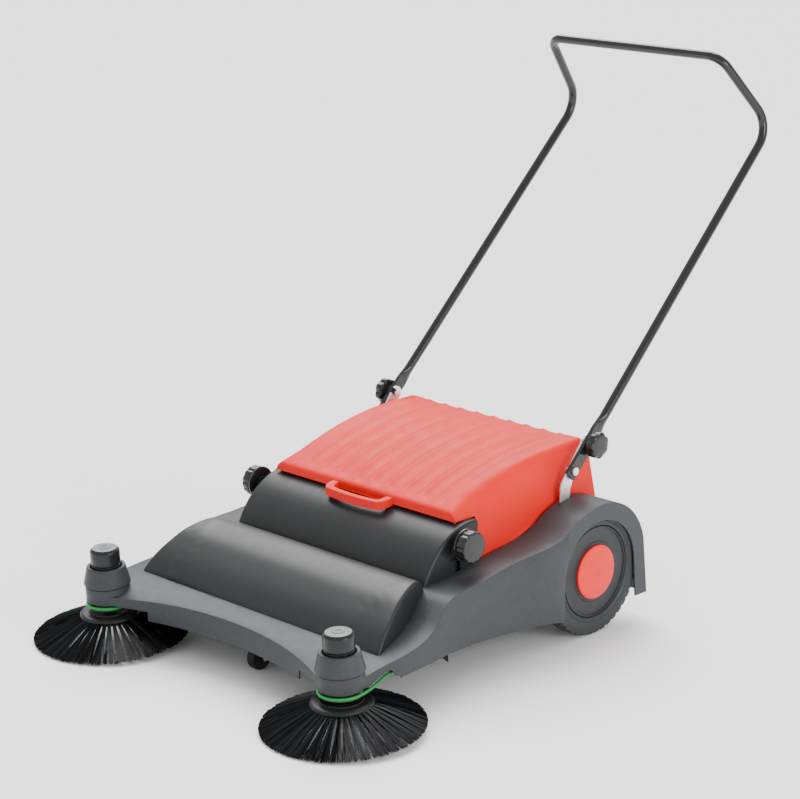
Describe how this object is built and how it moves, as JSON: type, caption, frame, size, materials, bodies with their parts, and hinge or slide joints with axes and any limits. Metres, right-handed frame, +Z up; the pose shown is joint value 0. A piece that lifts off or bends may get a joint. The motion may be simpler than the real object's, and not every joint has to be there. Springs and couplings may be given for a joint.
{
  "type": "walk-behind push sweeper",
  "caption": "Push sweeper with a roller brush under a hood, two belt-driven side brushes on front arms, big rear wheels, a lift-out dirt hopper under a ribbed lid and a folding U handle",
  "frame": {"origin": "on the floor, under the middle of the bounding box", "axes": "+X the operator's left, -Y the front with the side brushes, +Y the rear with the handle, +Z up"},
  "size_m": [0.96, 1.4531, 1.0965],
  "materials": {
    "dark_grey_plastic": "textured moulded plastic",
    "black_plastic": "satin moulded plastic",
    "red_plastic": "satin moulded plastic",
    "tyre_rubber": "moulded tread",
    "black_rubber": "matte",
    "green_belt": "smooth round belt",
    "black_painted_tube": "gloss black powder coat",
    "zinc_steel": "zinc plated",
    "bristle": "nylon bristle",
    "grey_plastic": "moulded plastic"
  },
  "bodies": {
    "root": {"chassis": "dark_grey_plastic", "front_cover": "black_plastic", "brush_hood": "black_plastic", "left_bracket": "zinc_steel", "right_bracket": "zinc_steel", "left_stub_axle": "zinc_steel", "right_stub_axle": "zinc_steel", "axle_nuts": "zinc_steel", "bracket_bolts": "zinc_steel", "handle_pivot_bolts": "zinc_steel", "left_brush_housing": "dark_grey_plastic", "right_brush_housing": "dark_grey_plastic", "left_round_belt": "green_belt", "right_round_belt": "green_belt", "front_dust_flap": "black_rubber", "rear_dust_flap": "black_rubber", "side_dust_flaps": "black_rubber", "lid_hinge_pins": "zinc_steel", "castor_mount": "black_plastic"},
    "roller_arms": {"left_roller_arm": "zinc_steel", "right_roller_arm": "zinc_steel", "roller_drive_belt": "black_rubber"},
    "main_brush": {"roller_shaft": "zinc_steel", "roller_core": "grey_plastic", "roller_bristles": "bristle", "roller_pulley": "black_plastic"},
    "lid": {"lid": "red_plastic"},
    "hopper": {"hopper": "grey_plastic", "hopper_grip": "grey_plastic"},
    "handle": {"handle_tube": "black_painted_tube", "clamp_studs": "zinc_steel"},
    "castor_fork": {"castor_fork": "black_plastic", "castor_pin": "zinc_steel"},
    "castor_wheel": {"castor_wheel": "tyre_rubber"},
    "left_wheel": {"left_tyre": "tyre_rubber", "left_wheel_disc": "dark_grey_plastic", "left_wheel_bushes": "grey_plastic", "left_drive_pulley": "black_plastic", "left_hub_cap": "red_plastic"},
    "left_hood_knob": {"left_hood_knob": "black_plastic"},
    "left_brush_pulley": {"left_brush_pulley": "black_plastic"},
    "left_side_brush": {"left_brush_hub": "black_plastic", "left_brush_bristles": "bristle"},
    "left_height_knob": {"left_height_knob": "black_plastic"},
    "left_clamp_knob": {"left_clamp_knob": "black_plastic"},
    "right_wheel": {"right_tyre": "tyre_rubber", "right_wheel_disc": "dark_grey_plastic", "right_wheel_bushes": "grey_plastic", "right_drive_pulley": "black_plastic", "right_hub_cap": "red_plastic"},
    "right_hood_knob": {"right_hood_knob": "black_plastic"},
    "right_brush_pulley": {"right_brush_pulley": "black_plastic"},
    "right_side_brush": {"right_brush_hub": "black_plastic", "right_brush_bristles": "bristle"},
    "right_height_knob": {"right_height_knob": "black_plastic"},
    "right_clamp_knob": {"right_clamp_knob": "black_plastic"}
  },
  "joints": [
    {"name": "roller_arms_drop", "type": "hinge", "parent": "root", "child": "roller_arms", "pos_m": [0, 0.1089, 0.13], "axis": [1, 0, 0], "range_deg": [0, 4]},
    {"name": "main_brush_spin", "type": "hinge", "parent": "roller_arms", "child": "main_brush", "pos_m": [0, -0.1911, 0.122], "axis": [1, 0, 0], "continuous": true},
    {"name": "lid_open", "type": "hinge", "parent": "root", "child": "lid", "pos_m": [0, 0.1929, 0.23], "axis": [-1, 0, 0], "range_deg": [0, 80]},
    {"name": "hopper_lift", "type": "slide", "parent": "root", "child": "hopper", "axis": [0, 0, 1], "range_m": [0, 0.09]},
    {"name": "handle_fold", "type": "hinge", "parent": "root", "child": "handle", "pos_m": [0, 0.1119, 0.323], "axis": [1, 0, 0], "range_deg": [0, 130]},
    {"name": "castor_swivel", "type": "hinge", "parent": "root", "child": "castor_fork", "pos_m": [0, -0.4971, 0.06], "axis": [0, 0, 1], "continuous": true},
    {"name": "castor_roll", "type": "hinge", "parent": "castor_fork", "child": "castor_wheel", "pos_m": [0, -0.4811, 0.025], "axis": [1, 0, 0], "continuous": true},
    {"name": "left_wheel_spin", "type": "hinge", "parent": "root", "child": "left_wheel", "pos_m": [0, 0.1089, 0.13], "axis": [1, 0, 0], "continuous": true},
    {"name": "left_hood_knob_turn", "type": "hinge", "parent": "roller_arms", "child": "left_hood_knob", "pos_m": [0.29, -0.2121, 0.251], "axis": [1, 0, 0], "range_deg": [0, 360]},
    {"name": "left_brush_pulley_spin", "type": "hinge", "parent": "root", "child": "left_brush_pulley", "pos_m": [0.327, -0.5761, 0.00907], "axis": [0, -0.0593, 0.9982], "continuous": true},
    {"name": "left_height_knob_turn", "type": "hinge", "parent": "root", "child": "left_height_knob", "pos_m": [0.327, -0.5761, 0.00907], "axis": [0, -0.0593, 0.9982], "range_deg": [0, 270]},
    {"name": "left_side_brush_lift", "type": "slide", "parent": "left_brush_pulley", "child": "left_side_brush", "axis": [0, -0.0593, 0.9982], "range_m": [0, 0.008]},
    {"name": "left_clamp_knob_turn", "type": "hinge", "parent": "handle", "child": "left_clamp_knob", "pos_m": [0.29, 0.1589, 0.37], "axis": [1, 0, 0], "range_deg": [0, 360]},
    {"name": "right_wheel_spin", "type": "hinge", "parent": "root", "child": "right_wheel", "pos_m": [0, 0.1089, 0.13], "axis": [1, 0, 0], "continuous": true},
    {"name": "right_hood_knob_turn", "type": "hinge", "parent": "roller_arms", "child": "right_hood_knob", "pos_m": [-0.29, -0.2121, 0.251], "axis": [1, 0, 0], "range_deg": [0, 360]},
    {"name": "right_brush_pulley_spin", "type": "hinge", "parent": "root", "child": "right_brush_pulley", "pos_m": [-0.327, -0.5761, 0.00907], "axis": [0, -0.0593, 0.9982], "continuous": true},
    {"name": "right_height_knob_turn", "type": "hinge", "parent": "root", "child": "right_height_knob", "pos_m": [-0.327, -0.5761, 0.00907], "axis": [0, -0.0593, 0.9982], "range_deg": [0, 270]},
    {"name": "right_side_brush_lift", "type": "slide", "parent": "right_brush_pulley", "child": "right_side_brush", "axis": [0, -0.0593, 0.9982], "range_m": [0, 0.008]},
    {"name": "right_clamp_knob_turn", "type": "hinge", "parent": "handle", "child": "right_clamp_knob", "pos_m": [-0.29, 0.1589, 0.37], "axis": [1, 0, 0], "range_deg": [0, 360]}
  ],
  "couplings": [
    {"joint": "left_brush_pulley_spin", "follows": "left_wheel_spin", "ratio": -1.0714},
    {"joint": "left_side_brush_lift", "follows": "left_height_knob_turn", "m_per_rad": 0.0016976},
    {"joint": "right_brush_pulley_spin", "follows": "right_wheel_spin", "ratio": 1.0714},
    {"joint": "right_side_brush_lift", "follows": "right_height_knob_turn", "m_per_rad": 0.0016976},
    {"joint": "main_brush_spin", "follows": "left_wheel_spin", "ratio": 2.2064}
  ]
}
